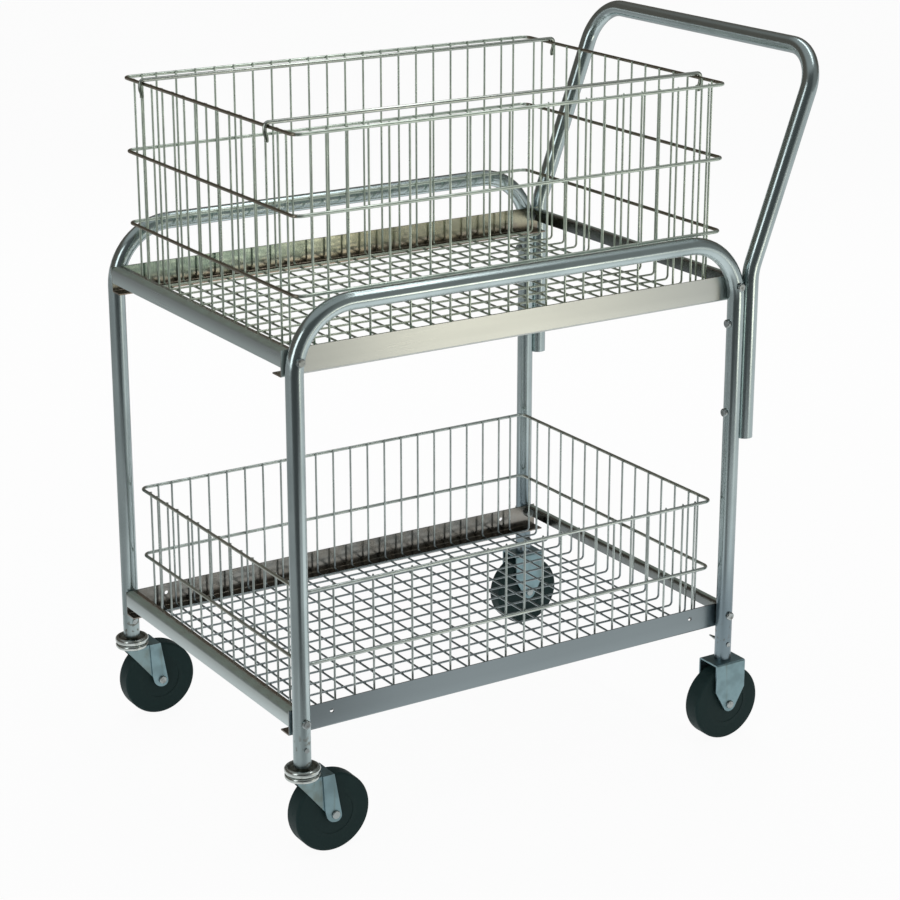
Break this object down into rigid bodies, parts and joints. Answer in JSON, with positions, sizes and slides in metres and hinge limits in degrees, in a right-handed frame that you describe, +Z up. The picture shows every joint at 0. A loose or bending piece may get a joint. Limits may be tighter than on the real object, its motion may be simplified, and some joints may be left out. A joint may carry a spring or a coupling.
{
  "type": "mail cart",
  "caption": "Wire-basket mail cart: bent tube arches and push handle, deep basket with hanging-file rods over a shallow one, swivel and rigid casters.",
  "frame": {"origin": "on the floor under the middle of the four legs", "axes": "+X towards the push handle, +Y towards the right side as pushed, +Z up"},
  "size_m": [0.9235, 0.6109, 1.0737],
  "materials": {
    "plated_tube": "bright zinc plating with a soft sheen",
    "folded_rail": "plated sheet with a fine lengthwise grain",
    "basket_wire": "bright zinc plating with a faint green cast",
    "fastener": "zinc plated",
    "caster_steel": "dull blue-white zinc plating",
    "bearing_steel": "polished",
    "tyre_rubber": "matt black solid rubber",
    "core_plastic": "matt black",
    "bush_steel": "plain turned",
    "sleeve_plastic": "moulded black"
  },
  "bodies": {
    "frame": {"left_arch": "plated_tube", "right_arch": "plated_tube", "push_handle": "plated_tube", "upper_left_rail": "folded_rail", "upper_right_rail": "folded_rail", "upper_front_rail": "folded_rail", "upper_rear_rail": "folded_rail", "lower_left_rail": "folded_rail", "lower_right_rail": "folded_rail", "lower_front_rail": "folded_rail", "lower_rear_rail": "folded_rail", "shelf_bolts": "fastener", "shelf_nuts": "fastener", "handle_bolts": "fastener", "handle_nuts": "fastener", "stem_sleeves": "sleeve_plastic", "stem_rivets": "fastener", "rear_lock_pins": "fastener", "front_left_stem": "caster_steel", "front_right_stem": "caster_steel", "rear_left_stem": "caster_steel", "rear_right_stem": "caster_steel", "rear_left_fork": "caster_steel", "rear_right_fork": "caster_steel", "rear_left_axle": "fastener", "rear_right_axle": "fastener", "rear_axle_nuts": "fastener"},
    "upper_basket": {"upper_basket_top_rim": "basket_wire", "upper_basket_middle_ring": "basket_wire", "upper_basket_low_ring": "basket_wire", "upper_basket_cross_wires": "basket_wire", "upper_basket_long_wires": "basket_wire"},
    "lower_basket": {"lower_basket_top_rim": "basket_wire", "lower_basket_middle_ring": "basket_wire", "lower_basket_cross_wires": "basket_wire", "lower_basket_long_wires": "basket_wire"},
    "left_file_rod": {"left_file_rod": "basket_wire"},
    "right_file_rod": {"right_file_rod": "basket_wire"},
    "front_left_swivel": {"front_left_fork": "caster_steel", "front_left_bearing_balls": "bearing_steel", "front_left_axle": "fastener", "front_left_axle_nut": "fastener"},
    "front_right_swivel": {"front_right_fork": "caster_steel", "front_right_bearing_balls": "bearing_steel", "front_right_axle": "fastener", "front_right_axle_nut": "fastener"},
    "front_left_wheel": {"front_left_tyre": "tyre_rubber", "front_left_wheel_core": "core_plastic", "front_left_wheel_bush": "bush_steel"},
    "front_right_wheel": {"front_right_tyre": "tyre_rubber", "front_right_wheel_core": "core_plastic", "front_right_wheel_bush": "bush_steel"},
    "rear_left_wheel": {"rear_left_tyre": "tyre_rubber", "rear_left_wheel_core": "core_plastic", "rear_left_wheel_bush": "bush_steel"},
    "rear_right_wheel": {"rear_right_tyre": "tyre_rubber", "rear_right_wheel_core": "core_plastic", "rear_right_wheel_bush": "bush_steel"}
  },
  "joints": [
    {"name": "front_left_swivel_turn", "type": "hinge", "parent": "frame", "child": "front_left_swivel", "pos_m": [-0.372, -0.278, 0.121], "axis": [0, 0, 1], "continuous": true},
    {"name": "front_left_wheel_spin", "type": "hinge", "parent": "front_left_swivel", "child": "front_left_wheel", "pos_m": [-0.332, -0.278, 0.059], "axis": [0, 1, 0], "continuous": true},
    {"name": "front_right_swivel_turn", "type": "hinge", "parent": "frame", "child": "front_right_swivel", "pos_m": [-0.372, 0.278, 0.121], "axis": [0, 0, 1], "continuous": true},
    {"name": "front_right_wheel_spin", "type": "hinge", "parent": "front_right_swivel", "child": "front_right_wheel", "pos_m": [-0.332, 0.278, 0.059], "axis": [0, 1, 0], "continuous": true},
    {"name": "rear_left_wheel_spin", "type": "hinge", "parent": "frame", "child": "rear_left_wheel", "pos_m": [0.372, -0.278, 0.059], "axis": [0, 1, 0], "continuous": true},
    {"name": "rear_right_wheel_spin", "type": "hinge", "parent": "frame", "child": "rear_right_wheel", "pos_m": [0.372, 0.278, 0.059], "axis": [0, 1, 0], "continuous": true},
    {"name": "upper_basket_lift", "type": "slide", "parent": "frame", "child": "upper_basket", "axis": [0, 0, 1], "range_m": [0, 0.3]},
    {"name": "lower_basket_lift", "type": "slide", "parent": "frame", "child": "lower_basket", "axis": [0, 0, 1], "range_m": [0, 0.25]},
    {"name": "left_file_rod_slide", "type": "slide", "parent": "upper_basket", "child": "left_file_rod", "axis": [0, 1, 0], "range_m": [-0.04, 0.165]},
    {"name": "right_file_rod_slide", "type": "slide", "parent": "upper_basket", "child": "right_file_rod", "axis": [0, 1, 0], "range_m": [-0.165, 0.04]}
  ]
}
